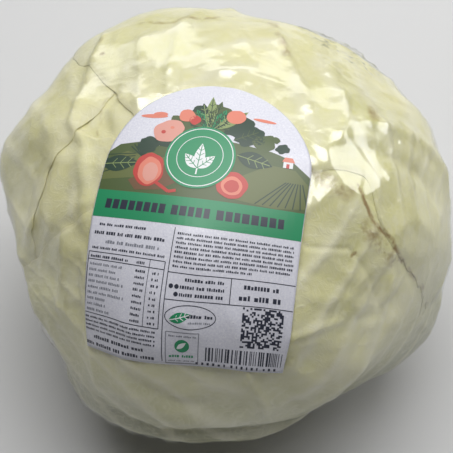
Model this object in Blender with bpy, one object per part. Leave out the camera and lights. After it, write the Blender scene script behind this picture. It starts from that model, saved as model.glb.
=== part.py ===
# Green cabbage head, wrapped tight in clear film, with a paper label on its upper front.
# Metres, +Z up, the front is -Y. The origin is on the floor, under the middle of the head.
# Every leaf grows from the stem, climbs one side and folds over the crown. A leaf lies on
# the heart and on the leaves inside it, so its place is worked out from all of them.

import math

import bmesh
import bpy
from mathutils import Matrix, Vector
from mathutils.bvhtree import BVHTree

# Heart: the tight inner head
HEART_WIDTH = 0.1770
HEART_DEPTH = 0.1800
HEART_HEIGHT = 0.1470
HEART_BASE_HEIGHT = 0.0150
HEART_FULLNESS = 2.35
HEART_BASE_ROUNDING = 9.0
HEART_BASE_SLOPE = 0.05
HEART_SEGMENTS = 28
HEART_RINGS = 18
HEART_LIFT = 0.0115

# Swells (+) and flats (-) of the heart: turn round the head from the front towards +X,
# height above the equator and reach, in degrees, then how far the surface moves out
SWELLS = {
    "left shoulder": (-101, 14, 24, 0.0088),
    "left front foot": (-31, -28, 21, 0.0078),
    "back left shoulder": (-142, 26, 23, 0.0100),
    "back shoulder": (168, 32, 22, 0.0040),
    "right front hip": (66, -16, 20, 0.0092),
    "right side": (98, 4, 20, 0.0048),
    "right back shoulder": (132, 22, 22, 0.0056),
    "crown": (150, 74, 30, 0.0010),
    "front right flat": (30, -27, 17, -0.0080),
    "left front flat": (-58, -18, 14, -0.0044),
}

# Stem: the cut butt and the core that tapers up into the heart
STEM_BUTT_RADIUS = 0.0170
STEM_TOP_RADIUS = 0.0080
STEM_LENGTH = 0.0700
STEM_SEGMENTS = 20
STEM_BEVEL = 0.0012
STEM_CLEARANCE = 0.0005
STEM_TAPER_SHARE = 0.9
STEM_TAPER_STEPS = 4
STEM_ROUND_SHARE = 0.6

# Wrapper leaves, each further round the stem than the last by the plant's own angle
OUTER_LEAF_TURN = 148.0
LEAF_DIVERGENCE = 137.5
LEAF_THICKNESS = 0.0010
LEAF_GAP = 0.0015
HEART_GAP = 0.0020
LEAF_HALF_WIDTH = 78.0
LEAF_BASE_SHARE = 0.24
LEAF_WIDEST_SHARE = 0.42
LEAF_END_SHARE = 1.03
LEAF_TIP_FULLNESS = 2.4
# How far each leaf reaches, from straight down up over the crown, outermost leaf first
LEAF_TIP_TURNS = (190.0, 166.0, 138.0, 174.0, 158.0, 184.0, 164.0, 178.0)
LEAF_BASE_GAP = 0.0012
LEAF_ROWS = 19
LEAF_COLUMNS = 15
LEAF_ROW_CROWDING = 0.86
LEAF_DRAPE = 13.0
LEAF_FAR_SIDE = 285.0
RIB_HEIGHT = 0.0030
RIB_HALF_WIDTH = 11.0
RIB_SPREAD = 1.9
RIB_END_SHARE = 0.80
RIB_START_SHARE = -0.25

# Film: bridges the hollows between the leaves, and lies flat under the butt
FILM_THICKNESS = 0.0006
FILM_GAP = 0.0013
FOOT_RADIUS = 0.0300
FILM_SEGMENTS = 40
FILM_RINGS = 24
VENT_SEGMENT = 20
LAY_OVER_ROUNDS = 4

# Label: arch-topped paper on the film
LABEL_WIDTH = 0.0930
LABEL_HEIGHT = 0.1310
LABEL_BOTTOM_SHARE = 0.945
LABEL_STRAIGHT_SHARE = 0.7
LABEL_ARCH_HEIGHT = 0.0480
LABEL_THICKNESS = 0.0003
LABEL_GAP = 0.0008
LABEL_TURN = -19.0
LABEL_ELEVATION = 63.0
LABEL_ROLL = 9.0
LABEL_ROWS = 16
LABEL_COLUMNS = 11
LABEL_TOP_SHARE = 0.992
LABEL_ROW_CROWDING = 1.45

HEAD_CENTRE_HEIGHT = HEART_HEIGHT / 2 + HEART_LIFT
CENTRE = Vector((0.0, 0.0, HEAD_CENTRE_HEIGHT))
STEM_BUTT_HEIGHT = FILM_THICKNESS + FILM_GAP


def make_material(name, colour, roughness, alpha=1.0):
    material = bpy.data.materials.new(name)
    material.use_nodes = True
    shader = material.node_tree.nodes["Principled BSDF"]
    shader.inputs["Base Color"].default_value = (*colour, 1.0)
    shader.inputs["Roughness"].default_value = roughness
    shader.inputs["Metallic"].default_value = 0.0
    shader.inputs["Alpha"].default_value = alpha
    material.diffuse_color = (*colour, alpha)
    return material


def make_object(name, vertices, faces, material):
    mesh = bpy.data.meshes.new(name)
    mesh.from_pydata(vertices, [], faces)
    mesh.materials.append(material)
    mesh.shade_smooth()
    mesh.set_sharp_from_angle(angle=math.radians(35))
    piece = bpy.data.objects.new(name, mesh)
    bpy.context.scene.collection.objects.link(piece)
    return piece


def smooth_step(value):
    value = min(1.0, max(0.0, value))
    return value * value * (3.0 - 2.0 * value)


def head_direction(turn, elevation):
    """The unit direction at a turn from the front towards +X and a height above the equator."""
    turn, elevation = math.radians(turn), math.radians(elevation)
    level = math.cos(elevation)
    return Vector((math.sin(turn) * level, -math.cos(turn) * level, math.sin(elevation)))


def swell_at(direction):
    total = 0.0
    for turn, elevation, reach, height in SWELLS.values():
        angle = math.degrees(direction.angle(head_direction(turn, elevation)))
        total += height * math.exp(-((angle / reach) ** 2))
    return total


def heart_reach(direction):
    """How far the heart reaches from the head's centre: a swollen ellipsoid with a flat base."""
    level = math.hypot(direction.x / (HEART_WIDTH / 2), direction.y / (HEART_DEPTH / 2))
    upright = abs(direction.z) / (HEART_HEIGHT / 2)
    reach = (level ** HEART_FULLNESS + upright ** HEART_FULLNESS) ** (-1.0 / HEART_FULLNESS)
    reach += swell_at(direction)
    if direction.z < -HEART_BASE_SLOPE:
        to_base = (HEAD_CENTRE_HEIGHT - HEART_BASE_HEIGHT) / -direction.z
        power = HEART_BASE_ROUNDING
        reach = (reach ** -power + to_base ** -power) ** (-1.0 / power)
    return reach


def leaf_turn(order):
    """Turn of a leaf's midrib. Order 1 is the outermost leaf."""
    return OUTER_LEAF_TURN - (order - 1) * LEAF_DIVERGENCE


def leaf_axes(order):
    turn = math.radians(leaf_turn(order))
    outward = Vector((math.sin(turn), -math.cos(turn), 0.0))
    sideways = Vector((math.cos(turn), math.sin(turn), 0.0))
    return outward, sideways


def leaf_direction(order, along, across):
    """Along is the angle from straight down, up the midrib. Across is the angle beside it."""
    outward, sideways = leaf_axes(order)
    along, across = math.radians(along), math.radians(across)
    on_rib = outward * math.sin(along) - Vector((0, 0, 1)) * math.cos(along)
    return on_rib * math.cos(across) + sideways * math.sin(across)


def leaf_angles(order, direction):
    """The along and across angles of a direction, the reverse of leaf_direction."""
    outward, sideways = leaf_axes(order)
    across = math.degrees(math.asin(min(1.0, max(-1.0, direction.dot(sideways)))))
    along = math.degrees(math.atan2(direction.dot(outward), -direction.z))
    if along < LEAF_FAR_SIDE - 360.0:
        along += 360.0
    return along, across


def leaf_base_turn():
    """Where a leaf starts, just clear of the stem's side."""
    side = STEM_BUTT_RADIUS + LEAF_BASE_GAP
    return math.degrees(math.atan2(side, HEAD_CENTRE_HEIGHT - HEART_BASE_HEIGHT))


def leaf_share(order, along):
    base = leaf_base_turn()
    return (along - base) / (LEAF_TIP_TURNS[order - 1] - base)


def leaf_half_width(order, along):
    """Half the leaf's width, in degrees, widest at the head's side and rounded at the tip."""
    share = min(1.0, max(0.0, leaf_share(order, along)))
    widening = LEAF_BASE_SHARE + (1 - LEAF_BASE_SHARE) * smooth_step(share / LEAF_WIDEST_SHARE)
    past = max(0.0, share - LEAF_WIDEST_SHARE) / (LEAF_END_SHARE - LEAF_WIDEST_SHARE)
    return LEAF_HALF_WIDTH * widening * math.sqrt(1.0 - past ** LEAF_TIP_FULLNESS)


def rib_height(order, along, across, spread=1.0):
    """The midrib's height over the blade, thick at the base and gone before the tip."""
    share = leaf_share(order, along)
    strength = (1.0 - smooth_step(share / RIB_END_SHARE)) * smooth_step(1.0 - share / RIB_START_SHARE)
    side = min(1.0, abs(across) / (RIB_HALF_WIDTH * spread))
    return RIB_HEIGHT * strength * (1.0 - side * side) ** 2


def leaf_lift(order, direction):
    """How far a leaf holds out what lies over it, fading away past the leaf's edge."""
    along, across = leaf_angles(order, direction)
    beside = max(0.0, abs(across) - leaf_half_width(order, along))
    beyond = max(0.0, along - LEAF_TIP_TURNS[order - 1], leaf_base_turn() - along)
    cover = 1.0 - smooth_step(math.hypot(beside, beyond) / LEAF_DRAPE)
    return cover * (LEAF_THICKNESS + LEAF_GAP) + rib_height(order, along, across, RIB_SPREAD)


def leaf_underside(order, direction):
    """Where a leaf's inner face lies: over the heart and every leaf inside this one."""
    reach = heart_reach(direction) + HEART_GAP
    for inner in range(order + 1, len(LEAF_TIP_TURNS) + 1):
        reach += leaf_lift(inner, direction)
    return reach


def shell_faces(rows, columns):
    """Faces of a thin closed sheet: its outer side, its inner side and the edge around them."""
    faces = []
    inner = rows * columns
    for row in range(rows - 1):
        for column in range(columns - 1):
            a = row * columns + column
            b, c, d = a + 1, a + columns + 1, a + columns
            faces += [(a, b, c), (a, c, d)]
            faces += [(inner + c, inner + b, inner + a), (inner + d, inner + c, inner + a)]
    rim = list(range(columns))
    rim += [row * columns + columns - 1 for row in range(1, rows)]
    rim += [(rows - 1) * columns + column for column in range(columns - 2, -1, -1)]
    rim += [row * columns for row in range(rows - 2, 0, -1)]
    for here, there in zip(rim, rim[1:] + rim[:1]):
        faces.append((there, here, inner + here, inner + there))
    return faces


def surface_tree(pieces):
    """All the pieces' faces, as one tree to measure against."""
    corners, faces = [], []
    for piece in pieces:
        first = len(corners)
        corners += [vertex.co for vertex in piece.data.vertices]
        faces += [tuple(first + corner for corner in face.vertices) for face in piece.data.polygons]
    return BVHTree.FromPolygons(corners, faces)


def surface_points(pieces):
    """The pieces' corners and the middles of their edges and faces."""
    points = []
    for piece in pieces:
        corners = piece.data.vertices
        points += [corner.co for corner in corners]
        points += [face.center for face in piece.data.polygons]
        for edge in piece.data.edges:
            start, end = edge.vertices
            points.append((corners[start].co + corners[end].co) / 2)
    return points


def outermost_reach(tree, direction):
    """How far the pieces reach in a direction, met from outside, or 0 where there are none."""
    hit = tree.ray_cast(CENTRE + direction, -direction)[0]
    return (hit - CENTRE).length if hit else 0.0


def lay_over(pieces, directions, reaches, faces, clearance):
    """Raise a sheet's corners until they, its edges and its faces clear what it covers."""
    tree = surface_tree(pieces)
    points = surface_points(pieces)
    edges = {tuple(sorted(pair)) for face in faces for pair in zip(face, face[1:] + face[:1])}
    for corner, way in enumerate(directions):
        reaches[corner] = max(reaches[corner], outermost_reach(tree, way) + clearance)
    for _ in range(LAY_OVER_ROUNDS):
        corners = [CENTRE + way * reach for way, reach in zip(directions, reaches)]
        sheet = BVHTree.FromPolygons(corners, faces)
        raise_by = [0.0] * len(reaches)
        for point in points:
            hit, _normal, face, reach = sheet.ray_cast(CENTRE, (point - CENTRE).normalized())
            if hit is None:
                continue
            missing = (point - CENTRE).length + clearance - reach
            for corner in faces[face]:
                raise_by[corner] = max(raise_by[corner], missing)
        for edge in sorted(edges):
            middle = (corners[edge[0]] + corners[edge[1]]) / 2 - CENTRE
            missing = outermost_reach(tree, middle.normalized()) + clearance - middle.length
            for corner in edge:
                raise_by[corner] = max(raise_by[corner], missing)
        reaches = [reach + extra for reach, extra in zip(reaches, raise_by)]
    return reaches


def make_leaf(order, inside, material):
    base = leaf_base_turn()
    places = []
    for row in range(LEAF_ROWS):
        crowding = LEAF_ROW_CROWDING * row / (LEAF_ROWS - 1)
        share = math.sin(crowding) / math.sin(LEAF_ROW_CROWDING)
        along = base + (LEAF_TIP_TURNS[order - 1] - base) * share
        for column in range(LEAF_COLUMNS):
            across = leaf_half_width(order, along) * (column / (LEAF_COLUMNS - 1) * 2.0 - 1.0)
            places.append((along, across))
    directions = [leaf_direction(order, along, across) for along, across in places]
    reaches = [leaf_underside(order, direction) for direction in directions]
    faces = shell_faces(LEAF_ROWS, LEAF_COLUMNS)
    blade_faces = [face for face in faces if max(face) < len(directions)]
    reaches = lay_over(inside, directions, reaches, blade_faces, LEAF_GAP)
    outer_side = []
    inner_side = []
    for (along, across), direction, under in zip(places, directions, reaches):
        over = under + LEAF_THICKNESS + rib_height(order, along, across)
        inner_side.append(CENTRE + direction * under)
        outer_side.append(CENTRE + direction * over)
    return make_object(f"wrapper_leaf_{order}", outer_side + inner_side, faces, material)


def make_leaves(heart, material):
    """Leaves from the heart outwards, each laid over everything inside it."""
    inside = [heart]
    for order in range(len(LEAF_TIP_TURNS), 0, -1):
        inside.append(make_leaf(order, inside, material))
    return inside[1:]


def make_stem_shape(name, clearance, material):
    """A turned stem, from the cut butt up to its rounded top."""
    top = STEM_BUTT_HEIGHT + STEM_LENGTH + clearance
    bottom = STEM_BUTT_HEIGHT if clearance == 0 else -STEM_BUTT_HEIGHT
    bevel = STEM_BEVEL
    slope = (STEM_BUTT_RADIUS - STEM_TOP_RADIUS) / STEM_LENGTH
    low_radius = STEM_BUTT_RADIUS + clearance
    profile = [(low_radius - bevel, bottom), (low_radius, bottom + bevel)]
    for step in range(1, STEM_TAPER_STEPS + 1):
        height = STEM_LENGTH * STEM_TAPER_SHARE * step / STEM_TAPER_STEPS
        profile.append((low_radius - slope * height, STEM_BUTT_HEIGHT + height))
    profile.append((STEM_TOP_RADIUS * STEM_ROUND_SHARE + clearance, top))
    vertices = [Vector((0, 0, bottom))]
    for radius, height in profile:
        for segment in range(STEM_SEGMENTS):
            turn = math.tau * segment / STEM_SEGMENTS
            vertices.append(Vector((radius * math.cos(turn), radius * math.sin(turn), height)))
    vertices.append(Vector((0, 0, top)))
    faces = []
    last = len(profile) - 1
    for segment in range(STEM_SEGMENTS):
        here, there = 1 + segment, 1 + (segment + 1) % STEM_SEGMENTS
        faces.append((0, there, here))
        for ring in range(last):
            low, high = ring * STEM_SEGMENTS, (ring + 1) * STEM_SEGMENTS
            faces.append((low + here, low + there, high + there, high + here))
        faces.append((last * STEM_SEGMENTS + here, last * STEM_SEGMENTS + there, len(vertices) - 1))
    return make_object(name, vertices, faces, material)


def make_heart(material):
    """The heart, bored out for the stem."""
    vertices = [CENTRE - Vector((0, 0, heart_reach(Vector((0, 0, -1)))))]
    for ring in range(1, HEART_RINGS):
        elevation = -90.0 + 180.0 * ring / HEART_RINGS
        for segment in range(HEART_SEGMENTS):
            direction = head_direction(360.0 * segment / HEART_SEGMENTS, elevation)
            vertices.append(CENTRE + direction * heart_reach(direction))
    vertices.append(CENTRE + Vector((0, 0, heart_reach(Vector((0, 0, 1))))))
    faces = []
    top = len(vertices) - 1
    last = (HEART_RINGS - 2) * HEART_SEGMENTS
    for segment in range(HEART_SEGMENTS):
        here, there = 1 + segment, 1 + (segment + 1) % HEART_SEGMENTS
        faces.append((0, there, here))
        for ring in range(HEART_RINGS - 2):
            low, high = ring * HEART_SEGMENTS, (ring + 1) * HEART_SEGMENTS
            faces.append((low + here, low + there, high + there, high + here))
        faces.append((last + here, last + there, top))
    heart = make_object("heart", vertices, faces, material)
    cutter = make_stem_shape("stem_bore_cutter", STEM_CLEARANCE, material)
    cutter.hide_render = True
    cutter.display_type = "WIRE"
    bore = heart.modifiers.new("stem bore", "BOOLEAN")
    bore.operation = "DIFFERENCE"
    bore.object = cutter
    return heart


def stretched_film(pieces):
    """The tightest skin around the pieces and the foot, as a tree to measure against."""
    skin = bmesh.new()
    for piece in pieces:
        for vertex in piece.data.vertices:
            skin.verts.new(vertex.co)
    for segment in range(FILM_SEGMENTS):
        turn = 360.0 * segment / FILM_SEGMENTS
        skin.verts.new(head_direction(turn, 0) * FOOT_RADIUS + Vector((0, 0, STEM_BUTT_HEIGHT)))
    bmesh.ops.convex_hull(skin, input=skin.verts, use_existing_faces=False)
    tree = BVHTree.FromBMesh(skin)
    skin.free()
    return tree


def reach_of(tree, direction):
    return (tree.ray_cast(CENTRE, direction)[0] - CENTRE).length


def make_film(pieces, material):
    """A closed skin with a small open vent behind the foot, where the gathers don't meet."""
    tree = stretched_film(pieces)
    foot_elevation = -math.degrees(math.atan2(HEAD_CENTRE_HEIGHT, FOOT_RADIUS))
    elevations = [(foot_elevation - 90.0) / 2, foot_elevation]
    for ring in range(1, FILM_RINGS):
        elevations.append(foot_elevation + (90.0 - foot_elevation) * ring / FILM_RINGS)
    directions = []
    for elevation in elevations:
        for segment in range(FILM_SEGMENTS):
            directions.append(head_direction(360.0 * segment / FILM_SEGMENTS, elevation))
    directions += [Vector((0, 0, -1)), Vector((0, 0, 1))]
    reaches = [reach_of(tree, direction) + FILM_GAP for direction in directions]
    faces = film_faces(len(elevations))
    reaches = lay_over(pieces, directions, reaches, faces, FILM_GAP)
    foot = set(range(2 * FILM_SEGMENTS)) | {len(directions) - 2}
    outer_side = []
    inner_side = []
    for corner, (direction, reach) in enumerate(zip(directions, reaches)):
        outer_reach = reach + FILM_THICKNESS
        if corner in foot:
            outer_reach = HEAD_CENTRE_HEIGHT / -direction.z
            reach = (HEAD_CENTRE_HEIGHT - FILM_THICKNESS) / -direction.z
        outer_side.append(CENTRE + direction * outer_reach)
        inner_side.append(CENTRE + direction * reach)
    return make_object("film_wrap", outer_side + inner_side, film_walls(faces), material)


def film_faces(rings):
    """The film's outer faces, from the foot's middle up to the crown, less the vent."""
    faces = []
    bottom, top = rings * FILM_SEGMENTS, rings * FILM_SEGMENTS + 1
    last = (rings - 1) * FILM_SEGMENTS
    for segment in range(FILM_SEGMENTS):
        here, there = segment, (segment + 1) % FILM_SEGMENTS
        faces.append((bottom, there, here))
        faces.append((last + here, last + there, top))
        for ring in range(rings - 1):
            low, high = ring * FILM_SEGMENTS, (ring + 1) * FILM_SEGMENTS
            if ring != 1 or segment != VENT_SEGMENT:
                faces.append((low + here, low + there, high + there))
                faces.append((low + here, high + there, high + here))
    return faces


def film_walls(faces):
    """Both sides of the film, joined round the open vent."""
    inner = max(max(face) for face in faces) + 1
    low, high = FILM_SEGMENTS + VENT_SEGMENT, 2 * FILM_SEGMENTS + VENT_SEGMENT
    vent = (low, low + 1, high + 1, high)
    walls = list(faces)
    walls += [tuple(inner + corner for corner in reversed(face)) for face in faces]
    for start, end in zip(vent, vent[1:] + vent[:1]):
        walls.append((start, end, end + inner, start + inner))
    return walls


def label_half_width(height_share):
    """Half the label's width at a share of its height: straight sides under a round arch."""
    widening = min(1.0, height_share / LABEL_STRAIGHT_SHARE)
    side = LABEL_BOTTOM_SHARE + (1.0 - LABEL_BOTTOM_SHARE) * widening
    arch_start = 1.0 - LABEL_ARCH_HEIGHT / LABEL_HEIGHT
    into_arch = max(0.0, height_share - arch_start) / (1.0 - arch_start)
    return LABEL_WIDTH / 2 * side * math.sqrt(max(0.0, 1.0 - into_arch ** 2))


def make_label(film, material):
    """Paper laid on the film: lengths on the sheet are kept along lines from its middle."""
    facing = head_direction(LABEL_TURN, LABEL_ELEVATION)
    across = Vector((0, 0, 1)).cross(facing).normalized()
    across = Matrix.Rotation(math.radians(LABEL_ROLL), 3, facing) @ across
    upward = facing.cross(across)
    middle_reach = outermost_reach(surface_tree([film]), facing)
    directions = []
    for row in range(LABEL_ROWS):
        turn = LABEL_ROW_CROWDING * row / (LABEL_ROWS - 1)
        share = LABEL_TOP_SHARE * math.sin(turn) / math.sin(LABEL_ROW_CROWDING)
        for column in range(LABEL_COLUMNS):
            x = label_half_width(share) * (column / (LABEL_COLUMNS - 1) * 2.0 - 1.0)
            y = LABEL_HEIGHT * (share - 0.5)
            angle = math.hypot(x, y) / middle_reach
            flat = across * x + upward * y
            directions.append(facing * math.cos(angle) + flat.normalized() * math.sin(angle))
    faces = shell_faces(LABEL_ROWS, LABEL_COLUMNS)
    outer_faces = [face for face in faces if max(face) < len(directions)]
    reaches = lay_over([film], directions, [0.0] * len(directions), outer_faces, LABEL_GAP)
    outer_side = []
    inner_side = []
    for direction, under in zip(directions, reaches):
        inner_side.append(CENTRE + direction * under)
        outer_side.append(CENTRE + direction * (under + LABEL_THICKNESS))
    return make_object("label", outer_side + inner_side, faces, material)


def build():
    for item in list(bpy.data.objects):
        bpy.data.objects.remove(item, do_unlink=True)
    heart_green = make_material("heart leaf", (0.72, 0.74, 0.42), 0.55)
    stem_white = make_material("cut stem", (0.80, 0.78, 0.60), 0.60)
    leaf_green = make_material("wrapper leaf", (0.70, 0.72, 0.40), 0.45)
    clear_film = make_material("clear film", (0.90, 0.91, 0.90), 0.12, 0.25)
    label_paper = make_material("label paper", (0.66, 0.66, 0.74), 0.60)
    heart = make_heart(heart_green)
    stem = make_stem_shape("stem", 0, stem_white)
    leaves = make_leaves(heart, leaf_green)
    film = make_film([stem, *leaves], clear_film)
    make_label(film, label_paper)


build()
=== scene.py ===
import math
import random

import bmesh
import bpy
import numpy as np
from mathutils import Matrix, Vector, noise
from mathutils.bvhtree import BVHTree


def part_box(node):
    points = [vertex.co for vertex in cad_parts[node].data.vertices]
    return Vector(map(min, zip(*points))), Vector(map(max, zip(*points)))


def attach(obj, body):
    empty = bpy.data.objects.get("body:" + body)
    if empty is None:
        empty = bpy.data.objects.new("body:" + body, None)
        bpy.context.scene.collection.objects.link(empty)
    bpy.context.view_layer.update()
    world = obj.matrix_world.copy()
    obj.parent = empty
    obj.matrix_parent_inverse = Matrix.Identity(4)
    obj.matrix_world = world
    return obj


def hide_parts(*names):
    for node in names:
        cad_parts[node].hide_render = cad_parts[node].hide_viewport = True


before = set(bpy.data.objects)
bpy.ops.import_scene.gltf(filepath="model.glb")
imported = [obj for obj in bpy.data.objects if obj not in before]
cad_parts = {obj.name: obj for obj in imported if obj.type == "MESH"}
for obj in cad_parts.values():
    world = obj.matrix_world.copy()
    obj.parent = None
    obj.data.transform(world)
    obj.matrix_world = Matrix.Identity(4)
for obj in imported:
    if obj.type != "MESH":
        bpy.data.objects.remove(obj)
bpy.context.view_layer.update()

print("frame loaded")

filmLow, filmHigh = (Vector(corner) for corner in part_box("film_wrap"))
headCentre = Vector((0.0, 0.0, filmHigh.z * 0.4925))  # every leaf is draped round this point
roundReach = 0.104  # a middling reach, which turns angles on the head into lengths

cameraSettings = {"elevation": 58.0, "distance": 0.62, "lens": 100.6}


def placeCamera():
    rise = math.radians(cameraSettings["elevation"])
    back = Vector((0.0, -math.cos(rise), math.sin(rise)))
    target = (filmLow + filmHigh) / 2
    bpy.ops.object.camera_add(location=target + back * cameraSettings["distance"])
    camera = bpy.context.object
    camera.rotation_mode = "QUATERNION"
    camera.rotation_quaternion = (-back).to_track_quat("-Z", "Y")
    camera.data.lens = cameraSettings["lens"]
    camera.data.clip_start = 0.01
    bpy.context.scene.camera = camera


lightSettings = {
    "window": {"place": (0.05, 0.84, 0.62), "size": (1.50, 0.36), "power": 2.7},
    "right window": {"place": (0.84, 0.36, 0.66), "size": (0.50, 0.46), "power": 1.9},
    "overhead": {"place": (0.02, 0.20, 1.15), "size": (1.10, 0.90), "power": 12.5},
}


def placeLights():
    for name, light in lightSettings.items():
        place = Vector(light["place"])
        bpy.ops.object.light_add(type="AREA", location=place)
        lamp = bpy.context.object
        lamp.name = name
        lamp.data.shape = "RECTANGLE"
        lamp.data.size, lamp.data.size_y = light["size"]
        lamp.data.energy = light["power"]
        lamp.rotation_mode = "QUATERNION"
        lamp.rotation_quaternion = (headCentre - place).to_track_quat("-Z", "Y")
    world = bpy.data.worlds.new("studio")
    bpy.context.scene.world = world
    world.use_nodes = True
    world.node_tree.nodes["Background"].inputs["Color"].default_value = (0.97, 0.98, 1.0, 1.0)
    world.node_tree.nodes["Background"].inputs["Strength"].default_value = 0.07
    bpy.context.scene.view_settings.view_transform = "Standard"


placeCamera()
placeLights()
print("camera and lights placed")


def deselectAll():
    bpy.ops.object.select_all(action="DESELECT")


def addGrid(name, rows, columns):
    deselectAll()
    bpy.ops.mesh.primitive_grid_add(
        x_subdivisions=columns - 1, y_subdivisions=rows - 1, size=2, location=(0, 0, 0)
    )
    piece = bpy.context.object
    piece.name = name
    return piece


def applyModifier(piece, kind, **settings):
    modifier = piece.modifiers.new(kind.lower(), kind)
    for key, value in settings.items():
        setattr(modifier, key, value)
    bpy.context.view_layer.objects.active = piece
    bpy.ops.object.modifier_apply(modifier=modifier.name)


def corners(piece):
    flat = np.empty(len(piece.data.vertices) * 3)
    piece.data.vertices.foreach_get("co", flat)
    return flat.reshape(-1, 3)


def setCorners(piece, places):
    piece.data.vertices.foreach_set("co", np.asarray(places, float).ravel())
    piece.data.update()


def keepNumber(piece, name, values):
    attribute = piece.data.attributes.new(name, "FLOAT", "POINT")
    attribute.data.foreach_set("value", np.asarray(values, np.float32))


def smoothStep(values):
    values = np.clip(values, 0.0, 1.0)
    return values * values * (3.0 - 2.0 * values)


def noiseAt(points, scale, seed=0.0):
    shift = Vector((seed * 7.31, seed * 3.17, seed * 5.73))
    return np.array([noise.noise(Vector(point) * scale + shift) for point in points])


def wayOf(turn, elevation):
    turn, elevation = math.radians(turn), math.radians(elevation)
    level = math.cos(elevation)
    return np.array((math.sin(turn) * level, -math.cos(turn) * level, math.sin(elevation)))


def anglesFrom(ways, turn, elevation):
    # degrees between each way and a place on the head
    return np.degrees(np.arccos(np.clip(ways @ wayOf(turn, elevation), -1, 1)))


def treeOf(piece):
    faces = [tuple(face.vertices) for face in piece.data.polygons]
    return BVHTree.FromPolygons([corner.co for corner in piece.data.vertices], faces)


def reachesOn(tree, ways):
    # how far a surface is from the head's centre, met from outside
    found = np.empty(len(ways))
    for index, way in enumerate(ways):
        way = Vector(way)
        found[index] = (tree.ray_cast(headCentre + way, -way)[0] - headCentre).length
    return found


def lineDistance(ways, points):
    # distance in millimetres from a line drawn over the head, and the share of the way along it
    spots = ways * roundReach * 1000
    line = [wayOf(turn, elevation) * roundReach * 1000 for turn, elevation in points]
    nearest = np.full(len(ways), 1e9)
    share = np.zeros(len(ways))
    for index, (start, end) in enumerate(zip(line, line[1:])):
        run = end - start
        along = np.clip((spots - start) @ run / (run @ run), 0, 1)
        away = np.linalg.norm(spots - start - along[:, None] * run, axis=1)
        closer = away < nearest
        nearest = np.where(closer, away, nearest)
        share = np.where(closer, (index + along) / (len(line) - 1), share)
    return nearest, share


filmSettings = {
    "name": "filmWrap", "subdivisions": 7, "smoothing": 40, "footRadius": 0.040,
    "thickness": 0.00012, "pleats": 46, "flat": (0.40, 0.40), "clearance": 0.00035, "pulls": 140,
    "vent": (184, -64), "ventReach": 3.6,
}


# places where the wrapped head is pulled in (+) or stands out (-) of its framed shape
# (turn and height on the head, reach, all in degrees, and metres inward)
drawnIn = (
    (44, -14, 20, 0.0030), (8, -28, 20, -0.0010), (-170, 35, 30, -0.0015), (-90, 5, 40, -0.0012),
    (98, 8, 26, -0.0034),
)


def makeSkin():
    # a fine round skin drawn onto the film's frame and smoothed, which the leaves are laid under
    deselectAll()
    bpy.ops.mesh.primitive_ico_sphere_add(
        subdivisions=filmSettings["subdivisions"], radius=0.16, location=(0, 0, 0)
    )
    skin = bpy.context.object
    skin.name = filmSettings["name"]
    tree = treeOf(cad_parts["film_wrap"])
    ways = corners(skin)
    ways /= np.linalg.norm(ways, axis=1)[:, None]
    reaches = np.empty(len(ways))
    for index, way in enumerate(ways):
        hit = tree.ray_cast(headCentre + Vector(way) * 0.4, -Vector(way))[0]
        reaches[index] = (hit - headCentre).length if hit else 0.09
    for turn, elevation, spread, depth in drawnIn:
        reaches -= depth * np.exp(-((anglesFrom(ways, turn, elevation) / spread) ** 2))
    setCorners(skin, np.array(headCentre) + ways * reaches[:, None])
    applyModifier(skin, "SMOOTH", factor=0.5, iterations=filmSettings["smoothing"])
    return skin


skin = makeSkin()
skinTree = treeOf(skin)
print("skin drawn", len(skin.data.vertices))

# hollows of the leaves, which the film bridges
# (turn and height on the head, reach, all in degrees, and millimetres inward)
hollows = {
    "left hollow": (-88, 26, 10, 3.0),
    "left low hollow": (-60, 20, 9, 2.6),
    "right front hollow": (52, 24, 9, 1.8),
    "left top hollow": (-118, 47, 8, 2.0),
    "right rim hollow": (112, 38, 9, 2.6),
    "back top hollow": (-170, 50, 10, 1.8),
    "back right hollow": (142, 50, 9, 1.8),
    "crown hollow": (120, 76, 10, 1.2),
}


def hollowAt(ways):
    total = np.zeros(len(ways))
    for turn, elevation, reach, depth in hollows.values():
        total += depth * np.exp(-((anglesFrom(ways, turn, elevation) / reach) ** 2))
    return total / 1000


leafSettings = {
    "turn": 148.0, "divergence": 137.5, "halfWidth": 78.0, "widest": 0.42, "baseShare": 0.24,
    "ribHeight": 0.0030, "ribWidth": 11.0, "drape": 12.0, "step": 0.00085, "thickness": 0.00055,
    "filmGap": 0.0005, "marginPress": 0.72, "underDrop": 0.0003,
}
leafCount = 8


def leafAxes(order):
    turn = math.radians(leafSettings["turn"] - (order - 1) * leafSettings["divergence"])
    outward = np.array((math.sin(turn), -math.cos(turn), 0.0))
    sideways = np.array((math.cos(turn), math.sin(turn), 0.0))
    return outward, sideways


def leafAngles(order, ways):
    outward, sideways = leafAxes(order)
    across = np.degrees(np.arcsin(np.clip(ways @ sideways, -1, 1)))
    along = np.degrees(np.arctan2(ways @ outward, -ways[:, 2]))
    along = np.where(along < -75.0, along + 360.0, along)
    return along, across


def leafWays(order, along, across):
    outward, sideways = leafAxes(order)
    along, across = np.radians(along), np.radians(across)
    onRib = np.outer(np.sin(along), outward)
    onRib[:, 2] -= np.cos(along)
    return onRib * np.cos(across)[:, None] + np.outer(np.sin(across), sideways)


def leafReach(order):
    # where the framed leaf starts and ends, in degrees up its midrib
    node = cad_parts[f"wrapper_leaf_{order}"]
    ways = corners(node) - np.array(headCentre)
    ways /= np.linalg.norm(ways, axis=1)[:, None]
    along, across = leafAngles(order, ways)
    middle = np.abs(across) < 4
    return along[middle].min(), along[middle].max()


leafReaches = {order: leafReach(order) for order in range(1, leafCount + 1)}
print("leaf reaches", [(round(float(base), 1), round(float(tip), 1)) for base, tip in leafReaches.values()])


def leafShare(order, along):
    base, tip = leafReaches[order]
    return (along - base) / (tip - base)


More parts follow.
